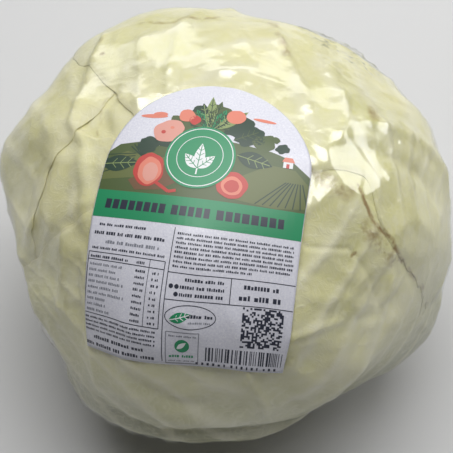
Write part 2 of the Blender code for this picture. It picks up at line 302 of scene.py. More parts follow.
def halfWidth(order, along):
    share = np.clip(leafShare(order, along), 0, 1)
    widest = leafSettings["widest"]
    baseShare = leafSettings["baseShare"]
    widening = baseShare + (1 - baseShare) * smoothStep(share / widest)
    past = np.maximum(0, share - widest) / (1.03 - widest)
    return leafSettings["halfWidth"] * widening * np.sqrt(1 - past ** 2.4)


# how much wider two leaves are on one side, in degrees, at angles up the midrib
frontMargin = ((98, 130, 152, 165, 172, 176, 178, 180, 182), (5, 9, 12, 15, 17, 14, 10, 3, 0))  # leaf 1
leftMargin = ((60, 100, 140, 166), (0, 8, 13, 9))  # leaf 2
tipSettings = {"pull": 16.0, "across": -35.0, "spread": 14.0, "fromShare": 0.7, "overShare": 0.25}


def tipPull(order, along, across):
    # the outermost leaf's end is drawn back on its front side
    if order != 1:
        return np.zeros(len(along))
    beside = np.exp(-(((across - tipSettings["across"]) / tipSettings["spread"]) ** 2))
    nearEnd = smoothStep((leafShare(order, along) - tipSettings["fromShare"]) / tipSettings["overShare"])
    return tipSettings["pull"] * beside * nearEnd


def sideWidth(order, along, across):
    width = halfWidth(order, along)
    if order == 1:
        width = width + np.where(across < 0, np.interp(along, *frontMargin, left=0, right=0), 0)
    if order == 2:
        width = width + np.where(across < 0, np.interp(along, *leftMargin), 0)
    return width


def ribRise(order, along, across, spread=1.0):
    share = leafShare(order, along)
    strength = (1 - smoothStep(share / 0.80)) * smoothStep((share + 0.25) / 0.25)
    reach = leafSettings["ribWidth"] * spread * (1.15 - 0.6 * np.clip(share, 0, 1))
    side = np.minimum(1, np.abs(across) / reach)
    return leafSettings["ribHeight"] * strength * (1 - side * side) ** 2


def leafCover(order, along, across):
    # 1 under the leaf, fading to 0 past its edge
    base, tip = leafReaches[order]
    along = along + tipPull(order, along, across)
    beside = np.maximum(0, np.abs(across) - sideWidth(order, along, across))
    beyond = np.maximum(0, np.maximum(along - tip, base - along))
    return 1 - smoothStep(np.hypot(beside, beyond) / leafSettings["drape"])


def leafOuterReach(order, ways, skinReach, hollow):
    # the outer face of a leaf: under the film and under every leaf outside this one
    reach = skinReach - hollow - leafSettings["filmGap"]
    for outer in range(1, order):
        along, across = leafAngles(outer, ways)
        reach = reach - leafCover(outer, along, across) * leafSettings["step"]
        reach = reach - ribRise(outer, along, across, 1.4) * 0.45
    along, across = leafAngles(order, ways)
    return reach - leafSettings["ribHeight"] * 0.3 + ribRise(order, along, across) * 0.3


# folds, creases and raised veins seen on the leaves: a line of (turn, height) points in degrees,
# its half width in millimetres and how far it stands out (+) or goes in (-), in millimetres
folds = {
    "front midrib": (((10, 1), (9, 9), (6, 17), (3, 32), (-2, 46)), 2.3, 3.2),
    "front midrib left": (((4, 2), (3, 8), (0, 18), (-3, 34)), 4.2, -1.5),
    "front midrib right": (((17, 3), (16, 9), (13, 20), (9, 34)), 4.2, -1.5),
    "bright vein": (((8, 12), (13, 22), (18, 29), (26, 29), (36, 26)), 2.2, 1.0),
    "turn under": (
        ((-40, 12), (-24, 7), (-10, 2), (2, 1), (14, 1), (24, 4), (34, 9), (46, 13), (60, 12)), 5.5, 2.1,
    ),
    "under band": (((-44, -2), (-26, -8), (-6, -11), (12, -12), (30, -8), (48, -2)), 9.0, -5.0),
    "bottom crease": (((-38, 22), (-26, 15), (-12, 9), (-2, 8)), 3.4, -1.6),
    "low right ridge": (((58, 27), (50, 22), (40, 16), (30, 10)), 4.6, 1.9),
    "low right crease": (((56, 18), (46, 20), (38, 24), (28, 22)), 4.0, -1.4),
    "left edge drop": (((-100, 12), (-88, 4), (-76, -2), (-60, -8), (-46, -12)), 12.0, -6.0),
    "left low edge": (((-92, 22), (-78, 15), (-66, 10), (-52, 4), (-42, -2)), 5.0, 1.6),
    "left ridge": (((-94, 42), (-84, 37), (-76, 30), (-72, 18)), 3.6, 2.0),
    "left shoulder ridge": (((-92, 47), (-80, 46), (-68, 45), (-54, 38)), 4.6, 2.2),
    "left fold": (((-66, 38), (-60, 31), (-54, 22), (-50, 12)), 3.0, 1.8),
    "left fold hollow": (((-56, 36), (-50, 28), (-44, 18), (-40, 10)), 3.6, -1.9),
    "left second fold": (((-46, 30), (-40, 20), (-36, 10), (-33, 0)), 3.0, 1.5),
    "left valley": (((-100, 38), (-94, 33), (-84, 26), (-78, 20)), 5.0, -1.3),
    "upper left rib": (((-142, 34), (-137, 38), (-119, 43), (-101, 44), (-86, 48)), 2.8, 2.2),
    "upper left crease": (((-140, 44), (-122, 50), (-104, 51), (-88, 56)), 4.0, -1.8),
    "upper left facet": (((-150, 44), (-130, 56), (-100, 63)), 3.6, 1.4),
    "top left fold": (((-176, 36), (-164, 45), (-150, 58), (-120, 68)), 3.4, 1.8),
    "top fold": (((165, 38), (159, 47), (143, 58), (119, 64), (100, 66)), 3.2, 2.0),
    "top fold shadow": (((174, 42), (166, 53), (150, 66), (122, 74)), 4.2, -1.6),
    "top right fold": (((140, 40), (128, 50), (110, 55), (92, 58), (76, 58)), 3.4, 1.7),
    "right thin vein": (((30, 54), (33, 48), (47, 41), (48, 32), (47, 24), (47, 14)), 1.2, -0.7),
    "right rim fold": (((96, 60), (100, 46), (100, 32), (96, 18), (86, 4)), 4.0, 2.0),
    "right rim hollow": (((86, 58), (88, 44), (88, 28), (84, 14)), 4.4, -1.8),
    "right edge drop": (((112, 20), (100, 6), (84, -4), (70, -8)), 9.0, -2.6),
    "back fold one": (((-170, 10), (-176, 24), (176, 36)), 4.0, 2.0),
    "back fold two": (((150, 0), (146, 16), (150, 30)), 4.6, -2.2),
    "back fold three": (((-150, -6), (-140, 10), (-136, 24)), 4.2, 1.9),
    "back fold four": (((120, -4), (124, 10), (128, 26)), 4.2, 1.9),
}


def foldRise(ways):
    total = np.zeros(len(ways))
    for points, width, height in folds.values():
        away, share = lineDistance(ways, points)
        ends = smoothStep(np.minimum(share, 1 - share) / 0.18)
        total += height * np.exp(-((away / width) ** 2)) * ends
    return total / 1000


def facetRise(ways):
    # broad faces that meet at soft ridges, as where the leaf is pulled tight
    rise = np.empty(len(ways))
    for index, way in enumerate(ways):
        near, nextNear = noise.voronoi(Vector(way) * roundReach / 0.030)[0][:2]
        rise[index] = -min(0.55, nextNear - near)
    return rise * 0.0026


# places that are bruised or drying: a line of points, a half width in millimetres and a strength
stains = {
    "right margin": (((68, 50), (63, 46), (60, 41), (61, 35), (60, 30), (61, 25)), 1.3, 0.95),
    "right margin spread": (((57, 42), (56, 37), (58, 32), (58, 28)), 4.6, 0.62),
    "right margin end": (((61, 25), (62, 18), (64, 11)), 1.4, 0.55),
    "top edge": (((165, 38), (159, 47), (150, 54)), 3.2, 0.55),
    "top left edge": (((-150, 40), (-158, 45), (-170, 44), (178, 40)), 1.3, 0.55),
    "far right spot": (((101, 47), (106, 46)), 3.2, 0.6),
    "right spot": (((56, 62), (60, 56), (62, 53)), 6.5, 0.50),
    "upper left spot": (((-132, 42), (-130, 41)), 1.2, 1.0),
    "middle right spot": (((46, 39), (48, 39)), 0.9, 1.0),
    "upper left vein": (((-137, 38), (-119, 43)), 1.0, 0.5),
    "upper left vein two": (((-120, 48), (-104, 50), (-92, 50)), 0.8, 0.4),
}


def stainAt(ways):
    total = np.zeros(len(ways))
    for points, width, strength in stains.values():
        away = lineDistance(ways, points)[0]
        total = np.maximum(total, strength * np.exp(-((away / width) ** 2)))
    return total


veinSettings = {
    "spacing": 15.5, "fineSpacing": 6.3, "rise": 0.00085, "fineRise": 0.00030,
    "pucker": 0.00070, "crinkle": 0.00016,
}


def veinRise(order, along, across, warp):
    # side veins leave the midrib by turns, left and right, and curve toward the leaf's edge
    base = leafReaches[order][0]
    share = np.clip(leafShare(order, along), 0, 1)
    width = np.maximum(sideWidth(order, along, across), 1)
    side = np.clip(np.abs(across) / width, 0, 1)
    reachOut = np.abs(across) * 0.80 + 0.12 * across * across / 40.0
    sideShift = np.where(across > 0, 0.0, 0.5)
    spacing, fineSpacing = veinSettings["spacing"], veinSettings["fineSpacing"]
    phase = (along - reachOut - base) / spacing + sideShift + warp
    nearest = np.abs(phase - np.round(phase)) * spacing * 0.72  # degrees away from the vein's middle
    thickness = 1.5 * (1 - side) + 0.55
    main = np.exp(-((nearest / thickness) ** 2)) * (1 - 0.75 * side) * smoothStep(side * 9)
    finePhase = (along + np.abs(across) * 0.55) / fineSpacing + warp * 2.4 + sideShift
    fineNearest = np.abs(finePhase - np.round(finePhase)) * fineSpacing * 0.8
    fine = np.exp(-((fineNearest / 0.55) ** 2)) * 0.32 * smoothStep(side * 5) * (1 - 0.5 * side)
    fade = smoothStep((1.02 - share) / 0.2)
    return main * fade, fine * fade


leafGrids = {order: (230, 190) if order < 4 else (150, 120) for order in range(1, leafCount + 1)}
leafGrids[4] = (200, 160)


def hiddenAt(order, ways):
    # 1 where a leaf outside this one covers it
    hidden = np.zeros(len(ways))
    for outer in range(1, order):
        hidden = np.maximum(hidden, leafCover(outer, *leafAngles(outer, ways)))
    return hidden


def makeLeafPiece(order):
    rows, columns = leafGrids[order]
    base, tip = leafReaches[order]
    leaf = addGrid(f"leaf{order}", rows, columns)
    grid = corners(leaf)
    across01, along01 = grid[:, 0], (grid[:, 1] + 1) / 2
    crowd = 0.80  # brings the rows closer toward the tip
    share = np.sin(crowd * along01) / math.sin(crowd)
    along = base + (tip - base) * share
    width = sideWidth(order, along, across01)
    across = width * across01
    # the margin wavers, in long waves and in short nicks
    edge = np.maximum(np.abs(across01), along01 ** 3)
    level = np.full(len(along), order * 3.0)
    waver = noiseAt(np.column_stack((across * 0.05, along * 0.05, level)), 1.0, order)
    ragged = noiseAt(np.column_stack((across * 0.22, along * 0.22, level)), 1.0, order + 9)
    pull = smoothStep((edge - 0.55) / 0.45)
    across = across * (1 + 0.07 * waver * pull + 0.022 * ragged * pull)
    along = along + pull * along01 * (4.0 * waver + 1.3 * ragged) - tipPull(order, along, across)
    ways = leafWays(order, along, across)
    spots = ways * roundReach * 1000
    skinReach = reachesOn(skinTree, ways)
    reach = leafOuterReach(order, ways, skinReach, hollowAt(ways))
    # a margin is pressed down on the leaf under it
    margin = smoothStep((edge - 0.88) / 0.12)
    reach = reach - margin * leafSettings["step"] * leafSettings["marginPress"]
    warp = noiseAt(spots, 0.022, order) * 0.55
    main, fine = veinRise(order, along, across, warp)
    # leaves pressed together share their puckers, and veins under another leaf don't show through
    pucker = noiseAt(spots, 0.055, 21)
    crinkle = noiseAt(spots, 0.16, 41)
    shown = 1 - hiddenAt(order, ways)
    main, fine = main * shown, fine * shown
    reach = reach + main * veinSettings["rise"] + fine * veinSettings["fineRise"]
    reach = reach + pucker * veinSettings["pucker"] + crinkle * veinSettings["crinkle"]
    reach = reach + foldRise(ways) + facetRise(ways)
    if order > 4:  # coarser and mostly hidden, so a little more room
        reach = reach - leafSettings["underDrop"]
    setCorners(leaf, np.array(headCentre) + ways * reach[:, None])
    rib = ribRise(order, along, across) / leafSettings["ribHeight"]
    keepNumber(leaf, "rib", rib)
    keepNumber(leaf, "vein", np.clip(main + 0.8 * fine, 0, 1))
    keepNumber(leaf, "stain", stainAt(ways))
    keepNumber(leaf, "edge", smoothStep((edge - 0.965) / 0.035))
    thick = leaf.vertex_groups.new(name="thick")
    for index, fullness in enumerate(1 - 0.7 * margin):
        thick.add([index], float(fullness), "REPLACE")
    applyModifier(
        leaf, "SOLIDIFY", thickness=leafSettings["thickness"], offset=-1.0,
        vertex_group="thick", thickness_vertex_group=0.1,
    )
    leaf.data.shade_smooth()
    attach(leaf, "root")
    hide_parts(f"wrapper_leaf_{order}")
    return leaf


leafPieces = {order: makeLeafPiece(order) for order in range(1, leafCount + 1)}
print("leaves made")


labelSettings = {
    "name": "labelPaper", "width": 0.0960, "height": 0.1310, "bottomShare": 0.918, "arch": 0.0480,
    "turn": -19.0, "elevation": 63.0, "roll": 9.0, "gap": 0.00035, "thickness": 0.00012,
    "rows": 110, "columns": 80, "pulls": 160,
}


def labelAxes():
    facing = Vector(wayOf(labelSettings["turn"], labelSettings["elevation"]))
    across = Vector((0, 0, 1)).cross(facing).normalized()
    across = Matrix.Rotation(math.radians(labelSettings["roll"]), 3, facing) @ across
    return np.array(facing), np.array(across), np.array(facing.cross(across))


labelFacing, labelAcross, labelUp = labelAxes()
labelMiddleReach = reachesOn(skinTree, [labelFacing])[0]


def labelWays(x, y):
    # ways to places on the sheet, in metres from its middle, keeping lengths along lines from there
    length = np.hypot(x, y)
    angle = length / labelMiddleReach
    flat = (np.outer(x, labelAcross) + np.outer(y, labelUp)) / np.maximum(length, 1e-9)[:, None]
    return np.cos(angle)[:, None] * labelFacing + np.sin(angle)[:, None] * flat


def labelHalfWidth(heightShare):
    bottom = labelSettings["bottomShare"]
    side = bottom + (1 - bottom) * np.minimum(1, heightShare / 0.7)
    archStart = 1 - labelSettings["arch"] / labelSettings["height"]
    intoArch = np.clip((heightShare - archStart) / (1 - archStart), 0, 1)
    return labelSettings["width"] / 2 * side * np.sqrt(1 - intoArch ** 2)


def labelPlace(ways):
    # how far outside the sheet each way is, in metres: the reverse of labelWays
    angle = np.arccos(np.clip(ways @ labelFacing, -1, 1))
    x, y = ways @ labelAcross, ways @ labelUp
    scale = angle * labelMiddleReach / np.maximum(np.hypot(x, y), 1e-9)
    x, y = x * scale, y * scale
    share = np.clip(y / labelSettings["height"] + 0.5, 0, 1)
    beside = np.abs(x) - labelHalfWidth(share)
    beyond = np.abs(y) - labelSettings["height"] / 2
    return np.maximum(beside, beyond)


wrinkleSeed = 41


def wrinkleLines():
    # short taut wrinkles: where they start and end, half width and height in millimetres
    luck = random.Random(wrinkleSeed)
    lines = []
    for count, turns, elevations, headings, lengths, heights in (
        (34, (-115, -35), (8, 48), (60, 120), (14, 34), (0.25, 0.75)),
        (26, (-60, 10), (-12, 12), (60, 120), (10, 26), (0.25, 0.80)),
        (26, (30, 110), (-5, 55), (30, 150), (10, 30), (0.15, 0.50)),
        (22, (95, 175), (15, 60), (0, 180), (10, 26), (0.25, 0.70)),
        (40, (-180, 180), (-40, 70), (0, 180), (12, 34), (0.15, 0.50)),
    ):
        for _ in range(count):
            turn, elevation = luck.uniform(*turns), luck.uniform(*elevations)
            heading = math.radians(luck.uniform(*headings))
            length = luck.uniform(*lengths) / (roundReach * 1000) * 57.3
            bend = luck.uniform(-0.25, 0.25)
            level = max(0.3, math.cos(math.radians(elevation)))
            points = []
            for part in (-0.5, 0.0, 0.5):
                swing = heading + bend * part
                points.append((
                    turn + length * part * math.cos(swing) / level,
                    elevation + length * part * math.sin(swing),
                ))
            lines.append((points, luck.uniform(1.3, 2.2), luck.uniform(*heights)))
    return lines


def filmRise(ways):
    # how far the film stands off its smooth shape, outward, in metres
    rise = np.zeros(len(ways))
    for points, width, height in wrinkleLines():
        away, share = lineDistance(ways, points)
        close = away < width * 3
        ends = smoothStep(np.minimum(share, 1 - share) / 0.3)
        rise[close] += (height * np.exp(-((away / width) ** 2)) * ends)[close]
    turns = np.arctan2(ways[:, 0], -ways[:, 1])
    elevations = np.degrees(np.arcsin(np.clip(ways[:, 2], -1, 1)))
    warp = noiseAt(ways * [1, 1, 0.35], 3.0, 5.0)
    # pleats drawn in under the head toward the foot
    low = smoothStep((-16 - elevations) / 30)
    pleats = np.abs(np.sin(turns * filmSettings["pleats"] / 2 + warp * 5.0)) ** 0.7
    rise += low * (pleats * 1.5 - 0.2)
    # gathers running down from the front left
    gatherMiddle = np.radians(-26)
    gather = np.exp(-(((turns - gatherMiddle) / 0.34) ** 2)) * smoothStep((10 - elevations) / 14)
    rise += gather * (np.abs(np.sin(turns * 34 + warp * 3.0)) ** 0.8) * (1 - low)
    # crumpled patch behind the right shoulder
    patch = np.exp(-((anglesFrom(ways, 138, 36) / 13) ** 2))
    rough = np.abs(noiseAt(ways, 22.0, 8.0)) + 0.6 * np.abs(noiseAt(ways, 41.0, 9.0))
    rise += patch * rough * 3.4
    rise += np.abs(noiseAt(ways, 9.0, 12.0)) * 0.25
    # smooth under the label, and flat under the foot
    rise *= smoothStep(labelPlace(ways) / 0.006 + 0.1)
    rise *= smoothStep((elevations + 74) / 8)
    return np.maximum(rise, 0.0) / 1000


def stretchOver(film, ways, lowest):
    # pulls the film tight: each corner goes to the middle of its neighbours, but never under lowest
    ends = np.empty(len(film.data.edges) * 2, int)
    film.data.edges.foreach_get("vertices", ends)
    first, second = ends.reshape(-1, 2).T
    count = np.bincount(ends, minlength=len(ways))[:, None]
    reach = lowest.copy()
    for _ in range(filmSettings["pulls"]):
        places = ways * reach[:, None]
        middle = np.zeros_like(places)
        for axis in range(3):
            middle[:, axis] = np.bincount(first, places[second, axis], len(ways))
            middle[:, axis] += np.bincount(second, places[first, axis], len(ways))
        middle /= count
        reach = np.maximum(lowest, (middle * ways).sum(axis=1))
    return reach


def makeFilm():
    film = skin
    places = corners(film)
    ways = places - np.array(headCentre)
    reach = np.linalg.norm(ways, axis=1)
    ways /= reach[:, None]
    lowest = reach - 0.009 - 0.012 * smoothStep((-0.10 - ways[:, 2]) / 0.3)
    for leaf in leafPieces.values():
        tree = treeOf(leaf)
        for index, way in enumerate(ways):
            hit = tree.ray_cast(headCentre + Vector(way) * 0.2, -Vector(way), 0.2)[0]
            if hit:
                lowest[index] = max(lowest[index], (hit - headCentre).length)
    under = smoothStep((-0.74 - ways[:, 2]) / 0.14)
    lowest = (lowest + filmSettings["clearance"]) * (1 - under) + np.maximum(lowest + 0.0003, reach) * under
    reach = stretchOver(film, ways, lowest)
    places = np.array(headCentre) + ways * (reach + filmRise(ways))[:, None]
    beside = np.hypot(places[:, 0], places[:, 1])
    under = ways[:, 2] < -0.5
    settle = np.where(under, smoothStep((beside - filmSettings["footRadius"] * 0.72) / 0.022), 1.0)
    places[:, 2] = np.maximum(places[:, 2] * settle, 0.0)
    setCorners(film, places)
    mesh = bmesh.new()
    mesh.from_mesh(film.data)
    vent = Vector(wayOf(*filmSettings["vent"]))
    gone = []
    for face in mesh.faces:
        way = (face.calc_center_median() - headCentre).normalized()
        if math.degrees(way.angle(vent)) < filmSettings["ventReach"]:
            gone.append(face)
    bmesh.ops.delete(mesh, geom=gone, context="FACES")
    mesh.to_mesh(film.data)
    mesh.free()
    applyModifier(film, "SOLIDIFY", thickness=filmSettings["thickness"], offset=-1.0)
    film.data.shade_smooth()
    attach(film, "root")
    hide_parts("film_wrap")
    return film


filmPiece = makeFilm()
filmTree = treeOf(filmPiece)
print("film drawn", len(filmPiece.data.polygons))


def makeLabel():
    rows, columns = labelSettings["rows"], labelSettings["columns"]
    paper = addGrid(labelSettings["name"], rows, columns)
    grid = corners(paper)
    crowd = 1.45  # brings the rows closer toward the top of the arch
    share = np.sin(crowd * (grid[:, 1] + 1) / 2) / math.sin(crowd) * 0.998
    x = labelHalfWidth(share) * grid[:, 0]
    y = labelSettings["height"] * (share - 0.5)
    sheet = paper.data.uv_layers["UVMap"]
    for loop in paper.data.loops:
        sheet.data[loop.index].uv = (x[loop.vertex_index] * 10, y[loop.vertex_index] * 10)
    ways = labelWays(x, y)
    under = (reachesOn(filmTree, ways) + labelSettings["gap"]).reshape(rows, columns)
    reach = under.copy()
    for _ in range(labelSettings["pulls"]):
        padded = np.pad(reach, 1, mode="reflect", reflect_type="odd")
        middle = (padded[2:, 1:-1] + padded[:-2, 1:-1] + padded[1:-1, 2:] + padded[1:-1, :-2]) / 4
        reach = np.maximum(under, middle)
    reach = reach.ravel()
    setCorners(paper, np.array(headCentre) + ways * reach[:, None])
    tree = treeOf(paper)
    applyModifier(paper, "SOLIDIFY", thickness=labelSettings["thickness"], offset=-1.0)
    paper.data.shade_smooth()
    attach(paper, "root")
    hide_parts("label")
    return paper, tree


labelPaper, labelTree = makeLabel()
print("label laid")


# laid out on a sheet 85 wide and 118 high, from the middle of its bottom edge
printSettings = {
    "name": "labelPrint", "sheet": (85.0, 118.0), "lift": 0.00005, "layer": 0.00002, "longest": 1.7,
}
inks = {
    "green": (0.021, 0.262, 0.112), "dark": (0.030, 0.034, 0.055), "olive": (0.140, 0.165, 0.060),
    "deepGreen": (0.030, 0.060, 0.040), "hillGreen": (0.085, 0.120, 0.045), "red": (0.520, 0.060, 0.050),
    "salmon": (0.720, 0.230, 0.160), "pink": (0.700, 0.330, 0.270), "brown": (0.170, 0.095, 0.050),
    "white": (0.780, 0.790, 0.800), "paleGreen": (0.260, 0.330, 0.130), "grey": (0.230, 0.240, 0.280),
}
shapes = []
printLuck = random.Random(11)


def put(ink, layer, points):
    shapes.append((ink, layer, points))


def putBox(ink, layer, left, low, right, high):
    put(ink, layer, [(left, low), (right, low), (right, high), (left, high)])


def turned(x, y, points, turn):
    cos, sin = math.cos(math.radians(turn)), math.sin(math.radians(turn))
    return [(x + a * cos - b * sin, y + a * sin + b * cos) for a, b in points]


def putDisc(ink, layer, x, y, wide, high=None, turn=0.0, rough=0.0, steps=30):
    high = high or wide
    points = []
    for step in range(steps):
        angle = math.tau * step / steps
        place = Vector((math.cos(angle) * 1.6 + x, math.sin(angle) * 1.6 + y, layer))
        waver = 1 + rough * noise.noise(place)
        points.append((wide * waver * math.cos(angle), high * waver * math.sin(angle)))
    put(ink, layer, turned(x, y, points, turn))


def putLeaf(ink, layer, x, y, length, width, turn, vein="paleGreen"):
    points = []
    for side in (1, -1):
        for step in range(9):
            share = step / 9 if side > 0 else 1 - step / 9
            points.append((share * length, side * width / 2 * math.sin(math.pi * share ** 0.85)))
    put(ink, layer, turned(x, y, points, turn))
    if vein:
        putLine(vein, layer + 1, turned(x, y, [(0, 0), (length * 0.92, 0)], turn), 0.35)
        for share in (0.3, 0.5, 0.7):
            for side in (1, -1):
                reach = width * 0.36 * math.sin(math.pi * share)
                ends = [(share * length, 0), (share * length + reach * 0.8, side * reach)]
                putLine(vein, layer + 1, turned(x, y, ends, turn), 0.25)


def putLine(ink, layer, points, width):
    for (x, y), (toX, toY) in zip(points, points[1:]):
        length = math.hypot(toX - x, toY - y)
        turn = math.degrees(math.atan2(toY - y, toX - x))
        sides = [(0, -width / 2), (length, -width / 2), (length, width / 2), (0, width / 2)]
        put(ink, layer, turned(x, y, sides, turn))


def putRing(ink, layer, x, y, wide, high, width, steps=48):
    for step in range(steps):
        ends = [math.tau * (step + more) / steps for more in (0, 1)]
        outer, inner = (
            [(x + (wide - less) * math.cos(angle), y + (high - less) * math.sin(angle)) for angle in ends]
            for less in (0, width)
        )
        put(ink, layer, [outer[0], outer[1], inner[1], inner[0]])


def putMarks(ink, layer, left, right, low, high, width=0.62, gap=0.22, word=(3, 8)):
    # plain marks that stand for a line of words
    x = left
    while x < right - width:
        for _ in range(printLuck.randint(*word)):
            wide = width * printLuck.uniform(0.55, 1.15)
            if x + wide > right:
                return
            drop = printLuck.choice((0.14, 0.14, 0.34))
            putBox(ink, layer, x, low, x + wide, low + high * (1 - drop))
            x += wide + gap
        x += width * 0.95


def drawPicture():
    put("hillGreen", 1, [
        (-43, 62), (-43, 78), (-38, 83), (-30, 85), (-20, 84), (-10, 87), (4, 90), (16, 88), (26, 86),
        (34, 83), (43, 76), (43, 62),
    ])
    put("olive", 2, [(-43, 66), (-43, 75), (-34, 80), (-24, 78), (-14, 79), (-8, 74), (-16, 68), (-30, 68)])
    put("olive", 2, [(10, 64), (16, 74), (26, 80), (36, 79), (43, 72), (43, 64), (30, 62)])
    put("brown", 3, [(-30, 67), (-20, 74), (-8, 77), (-6, 70), (-16, 64), (-26, 63)])
    for step in range(8):
        putLine("deepGreen", 4, [(22 + step * 2.9, 63), (33 + step * 0.9, 73.5)], 0.45)
    for step in range(5):
        putLine("deepGreen", 4, [(-43, 69 + step * 2.1), (-30, 74.5 + step * 1.2)], 0.4)
    for cloud in ((-27, 98.5, 6.0, 1.0, 6), (-24.5, 99.8, 3.2, 1.2, 6), (21.5, 101.5, 5.0, 0.8, -8)):
        putDisc("salmon", 1, *cloud)
    for x, y, size, ink in (
        (-26, 84, 4.5, "deepGreen"), (-13, 96, 6.5, "hillGreen"), (-6, 101, 6.5, "deepGreen"),
        (2, 100, 7.5, "hillGreen"), (10, 98, 7.0, "deepGreen"), (17, 93, 6.0, "deepGreen"),
        (23, 90, 4.5, "hillGreen"), (-19, 88, 5.0, "deepGreen"), (30, 88, 2.6, "deepGreen"),
        (27, 92, 1.8, "hillGreen"),
    ):
        putDisc(ink, 3, x, y, size, size * 0.9, rough=0.35)
    for turn in range(40, 150, 14):
        ink = ("green", "hillGreen", "paleGreen", "deepGreen")[turn // 14 % 4]
        vein = "deepGreen" if ink != "deepGreen" else "paleGreen"
        putLeaf(ink, 5, -1 + (90 - turn) * 0.05, 95, 14 + 3 * math.sin(turn), 5.4, turn, vein)
    # fruits and roots: ink, layer, place, half width and height, turn and roughness
    for disc in (
        ("salmon", 7, -12.5, 100.5, 3.6, 3.2, 0, 0.15), ("red", 7, -8.5, 98.6, 2.6, 2.4, 0, 0.15),
        ("salmon", 7, 9.0, 102.0, 4.2, 3.6, 0, 0.12), ("pink", 6, -18.9, 91.9, 6.8, 5.6, 20, 0.12),
        ("red", 7, -21.0, 91.0, 1.0, 0.9), ("salmon", 7, -17.6, 93.6, 0.9, 0.7),
        ("red", 6, -22.5, 72.5, 6.4, 7.6, 12, 0.12), ("salmon", 7, -22.0, 72.0, 4.9, 6.1, 12, 0.10),
        ("pink", 8, -21.6, 71.4, 3.2, 4.3, 12, 0.10), ("red", 6, 12.4, 69.3, 6.2, 5.8, 0, 0.08),
        ("salmon", 7, 12.4, 69.0, 4.2, 4.0, 0, 0.08), ("red", 8, 12.4, 68.8, 2.9, 2.7, 0, 0.08),
    ):
        putDisc(*disc)
    putLine("red", 6, [(-18, 67), (-12, 63.6), (-9, 64.4)], 1.3)
    putLeaf("deepGreen", 5, -43.5, 73, 16, 7.5, 8)
    putLeaf("deepGreen", 5, 12.5, 83, 15, 7.5, -14)
    putLeaf("deepGreen", 5, 10, 90, 12, 6.5, 28, "hillGreen")
    for turn in range(60, 150, 12):
        putLine("deepGreen", 5, turned(-27, 78, [(0, 0), (7.5, 0)], turn), 0.5)
    putBox("white", 6, 31.0, 79.6, 34.8, 82.4)
    put("salmon", 7, [(30.4, 82.2), (35.4, 82.2), (34.4, 84.2), (31.4, 84.2)])
    putBox("red", 7, 32.2, 79.6, 33.4, 81.4)
    putDisc("green", 9, -2.6, 80.7, 14.8, 14.8, steps=60)
    putRing("white", 10, -2.6, 80.7, 13.9, 13.9, 0.4)
    putRing("white", 10, -2.6, 80.7, 9.8, 9.8, 0.28)
    for turn, length in ((90, 12.0), (45, 9.0), (135, 9.0)):
        putLeaf("white", 10, -2.6, 75.0, length, 4.6, turn, "green")
    putLine("white", 10, [(-2.6, 75.4), (-2.6, 72.2)], 0.6)


